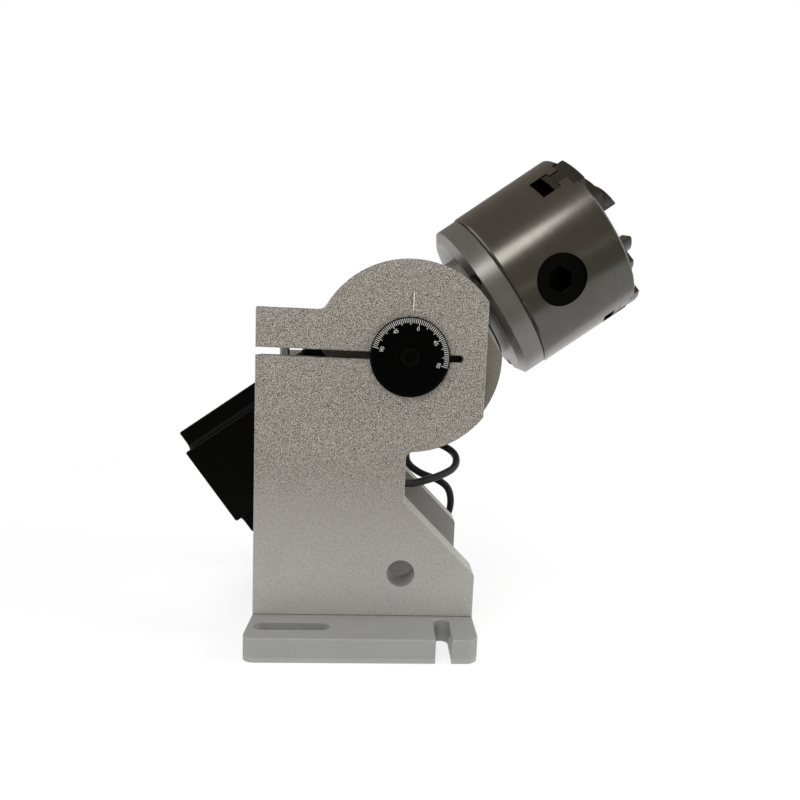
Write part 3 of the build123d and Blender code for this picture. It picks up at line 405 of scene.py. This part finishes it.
wears = {
    "plateAluminium": ["near_side_plate", "far_side_plate"],
    "baseAluminium": ["base_plate"],
    "housingAluminium": ["head_housing"],
    "chuckSteel": ["chuck_body"],
    "backPlateSteel": ["back_plate"],
    "jawSteel": ["jaw_1", "jaw_2", "jaw_3"],
    "spindleSteel": ["spindle", "front_cover", "near_trunnion", "far_trunnion", "inner_spacer",
                     "outer_spacer", "locknut", "spindle_hub", "motor_hub", "motor_shaft", "scroll",
                     "scroll_cover", "pinion_pins"],
    "groundSteel": ["front_bearing_inner_ring", "front_bearing_outer_ring", "front_bearing_balls",
                    "rear_bearing_inner_ring", "rear_bearing_outer_ring", "rear_bearing_balls",
                    "motor_bearing_inner_rings", "motor_bearing_outer_rings", "motor_bearing_balls"],
    "screwSteel": ["side_plate_screws", "near_clamp_screw", "far_clamp_screw"],
    "blackOxide": ["trunnion_screws", "dial_screw", "far_cap_screw", "cover_screws", "flange_screws",
                   "chuck_screws", "hub_grub_screws", "motor_case_screws", "motor_mount_screws",
                   "pinion_1", "pinion_2", "pinion_3"],
    "dialBlack": ["angle_dial", "far_cap"],
    "motorBlack": ["motor_front_cap", "motor_stator", "motor_rear_cap"],
    "rotorIron": ["motor_rotor"],
    "couplingPlastic": ["coupling_disc"],
    "cableSheath": ["lead_grommet", "motor_lead", "lead_coil", "lead_tail"],
    "plugMetal": ["lead_plug"],
}

materials = {name: makeFinish(name, group, look) for name, (group, look) in finishes.items()}
for name, members in wears.items():
    for member in members:
        for place in nodes[member].material_slots:
            place.material = materials[name]
motorCable.data.materials.append(materials["cableSheath"])
print("finishes on", sum(len(members) for members in wears.values()), "nodes")

# dial: white scale and numbers, printed on its rim
dialMarks = {
    "zero": 13.6,                  # degrees clockwise from straight up
    "ends": (-90, 90),
    "step": 3,
    "longEach": 15,
    "rimBand": (0.0135, 0.0163),   # radii between which the rim's face lies
    "bend": 0.0153,                # the rim's 45 degree bevel starts here
    "outer": 0.0159,
    "short": 0.0019,
    "long": 0.0027,
    "width": 0.00022,
    "proud": 0.00006,
    "numbers": ((-90, "90"), (-45, "45"), (0, "0"), (45, "45"), (90, "90")),
    "numberRadius": 0.0119,
    "numberSize": 0.0023,
    "numberSteps": 3,
    "white": {"color": (0.5, 0.5, 0.47), "metallic": 0.0, "roughness": 0.6, "scale": 2000, "contrast": 0.12,
              "smudge": 0.1, "bump": 0.1, "depth": 0.0001},
}


def numberMesh(words):
    data = bpy.data.curves.new("scaleNumber", "FONT")
    data.body = words
    data.size = dialMarks["numberSize"]
    data.align_x = "CENTER"
    data.align_y = "CENTER"
    data.extrude = dialMarks["proud"]
    data.resolution_u = dialMarks["numberSteps"]
    holder = bpy.data.objects.new("scaleNumber", data)
    scene.collection.objects.link(holder)
    mesh = meshFrom(holder)
    bpy.data.objects.remove(holder)
    return mesh


def dialTurn(angle):
    return Matrix.Rotation(radians(dialMarks["zero"] + angle), 4, "Y")


def makeDialMarks():
    x, y, z = head["axis"]
    least, most = dialMarks["rimBand"]
    rim = min(v.co.y for v in nodes["angle_dial"].data.vertices
              if least < hypot(v.co.x - x, v.co.z - z) < most)
    seat = Matrix.Translation((x, rim, z))
    width, thick = dialMarks["width"], 2 * dialMarks["proud"]
    bend, outer = dialMarks["bend"], dialMarks["outer"]
    fall = Matrix.Rotation(radians(-45), 3, "X")
    first, last = dialMarks["ends"]
    shape = bmesh.new()
    for angle in range(first, last + 1, dialMarks["step"]):
        inner = outer - (dialMarks["short"] if angle % dialMarks["longEach"] else dialMarks["long"])
        level = Matrix.LocRotScale((0, 0, (inner + bend) / 2), None, (width, thick, bend - inner))
        slope = Matrix.LocRotScale((0, (outer - bend) / 2, (outer + bend) / 2), fall,
                                   (width, thick, sqrt(2) * (outer - bend)))
        for bar in (level, slope):
            bmesh.ops.create_cube(shape, size=1, matrix=seat @ dialTurn(angle) @ bar)
    lift = Matrix.Translation((0, 0, dialMarks["numberRadius"]))
    upright = Matrix.Rotation(radians(90), 4, "X")
    for angle, words in dialMarks["numbers"]:
        done = set(shape.verts)
        shape.from_mesh(numberMesh(words))
        bmesh.ops.transform(shape, matrix=seat @ dialTurn(angle) @ lift @ upright,
                            verts=[v for v in shape.verts if v not in done])
    piece = addPiece("dialScale", shape, makeFinish("scaleWhite", blastGrain, dialMarks["white"]))
    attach(piece, "head")


makeDialMarks()
print("dial scale printed")

# index line above the dial, scribed in the near plate's face; the bright strip laid on the face is a painted
# highlight, the glint that the scribe catches
indexLine = {
    "x": 0.00075,
    "low": 0.141,
    "high": 0.1485,
    "width": 0.0003,
    "proud": 0.00004,
    # bright colour of the strip: painted highlight, the scribe's glint
    "bright": {"color": (0.85, 0.84, 0.8), "metallic": 0.4, "roughness": 0.5, "scale": 2600, "contrast": 0.4,
               "smudge": 0.1, "bump": 0.2, "depth": 0.0001},
}


def makeIndexLine():
    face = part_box("near_side_plate")[0][1]
    middle = (indexLine["x"], face, (indexLine["low"] + indexLine["high"]) / 2)
    size = (indexLine["width"], 2 * indexLine["proud"], indexLine["high"] - indexLine["low"])
    shape = bmesh.new()
    bmesh.ops.create_cube(shape, size=1, matrix=Matrix.LocRotScale(middle, None, size))
    piece = addPiece("indexLine", shape, makeFinish("paintedScribeGlint", blastGrain, indexLine["bright"]))
    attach(piece, "frame")


makeIndexLine()
print("index line scribed")

# stage: white floor and air, lamps, and a dull room and strips of ground that show in reflections only
stage = {
    "floorSize": 6.0,
    "floorColor": (0.92, 0.92, 0.92),
    "floorWhite": (0.78, 1.0),      # camera's share of pure white by the object and further out
    "floorFade": (0.18, 0.5),
    "air": 0.55,                    # its light; to the camera it is pure white
    "lamps": {
        "overhead": {"place": (-0.2, -0.9, 0.86), "aim": (0.03, 0, 0.15), "size": 0.28, "energy": 1.1,
                     "mirrored": True},   # the metal mirrors this lamp only
        "top": {"place": (-0.1, -0.3, 1.3), "aim": (0.03, 0, 0.1), "size": 0.6, "energy": 3.0},
        "right": {"place": (0.9, -0.12, 0.5), "aim": (0.05, 0, 0.05), "size": 0.4, "energy": 7.0},
        "front": {"place": (-0.45, -0.7, 0.5), "aim": (0, 0, 0.1), "size": 0.6, "energy": 3.9},
        "behind": {"place": (0.6, 1.1, 1.0), "aim": (0, 0, 0.1), "size": 0.9, "energy": 3.0},
    },
    "walls": {
        "frontWall": {"place": (0, -1.7, 1.25), "wide": 5.0, "high": 2.34, "color": (0.26, 0.235, 0.2)},
        "backWall": {"place": (0, 1.7, 1.7), "wide": 5.0, "high": 2.6, "color": (0.3, 0.27, 0.235)},
        "ceiling": {"place": (0, 0, 2.9), "wide": 5.0, "high": 4.0, "color": (0.3, 0.27, 0.235),
                    "level": True},
        "apron": {"place": (0, -1.1, 0.002), "wide": 5.0, "high": 1.76, "color": (0.22, 0.21, 0.18),
                  "level": True},
        "nearApron": {"place": (0, -0.06, 0.002), "wide": 5.0, "high": 0.32, "color": (0.58, 0.585, 0.58),
                      "level": True},
    },
}


def cameraWhite(tree):
    # 1 for rays that show the stage itself, straight, mirrored or through glass
    rays = tree.nodes.new("ShaderNodeLightPath")
    seen = addMath(tree, "MAXIMUM", rays.outputs["Is Camera Ray"], rays.outputs["Is Glossy Ray"])
    return addMath(tree, "MAXIMUM", seen, rays.outputs["Is Transmission Ray"])


def emptyMaterial(name):
    material = bpy.data.materials.new(name)
    material.use_nodes = True
    tree = material.node_tree
    tree.nodes.remove(tree.nodes["Principled BSDF"])
    return material, tree, tree.nodes["Material Output"].inputs["Surface"]


def makeFloor():
    cover, tree, surface = emptyMaterial("floorWhite")
    paint = tree.nodes.new("ShaderNodeBsdfDiffuse")
    paint.inputs["Color"].default_value = (*stage["floorColor"], 1)
    glow = tree.nodes.new("ShaderNodeEmission")
    both = tree.nodes.new("ShaderNodeMixShader")
    place = tree.nodes.new("ShaderNodeTexCoord")
    far = tree.nodes.new("ShaderNodeVectorMath")
    far.operation = "LENGTH"
    tree.links.new(place.outputs["Object"], far.inputs[0])
    share = addRange(tree, far.outputs["Value"], *stage["floorFade"], *stage["floorWhite"])
    tree.links.new(addMath(tree, "MULTIPLY", cameraWhite(tree), share), both.inputs[0])
    tree.links.new(paint.outputs[0], both.inputs[1])
    tree.links.new(glow.outputs[0], both.inputs[2])
    tree.links.new(both.outputs[0], surface)
    shape = bmesh.new()
    bmesh.ops.create_grid(shape, x_segments=1, y_segments=1, size=stage["floorSize"] / 2)
    addPiece("floor", shape, cover)


def makeWalls():
    for name, wall in stage["walls"].items():
        dull, tree, surface = emptyMaterial(name)
        glow = tree.nodes.new("ShaderNodeEmission")
        glow.inputs["Color"].default_value = (*wall["color"], 1)
        tree.links.new(glow.outputs[0], surface)
        stand = Matrix.Rotation(radians(0 if wall.get("level") else 90), 4, "X")
        spread = Matrix.Diagonal((wall["wide"], wall["high"], 1, 1))
        shape = bmesh.new()
        bmesh.ops.create_grid(shape, x_segments=1, y_segments=1, size=0.5,
                              matrix=Matrix.Translation(wall["place"]) @ stand @ spread)
        piece = addPiece(name, shape, dull)
        piece.visible_camera = False
        piece.visible_diffuse = False
        piece.visible_shadow = False


def makeAir():
    air = bpy.data.worlds.new("air")
    air.use_nodes = True
    scene.world = air
    tree = air.node_tree
    back = tree.nodes["Background"]
    back.inputs["Color"].default_value = (1, 1, 1, 1)
    tree.links.new(addRange(tree, cameraWhite(tree), 0.0, 1.0, stage["air"], 1.0), back.inputs["Strength"])


def makeLamps():
    for name, lamp in stage["lamps"].items():
        data = bpy.data.lights.new(name, "AREA")
        data.shape = "SQUARE"
        data.size = lamp["size"]
        data.energy = lamp["energy"]
        light = bpy.data.objects.new(name, data)
        scene.collection.objects.link(light)
        light.location = lamp["place"]
        reach = Vector(lamp["aim"]) - Vector(lamp["place"])
        light.rotation_euler = reach.to_track_quat("-Z", "Y").to_euler()
        light.visible_glossy = lamp.get("mirrored", False)


makeFloor()
makeWalls()
makeAir()
makeLamps()
scene.view_settings.view_transform = "Standard"
print("stage lit")
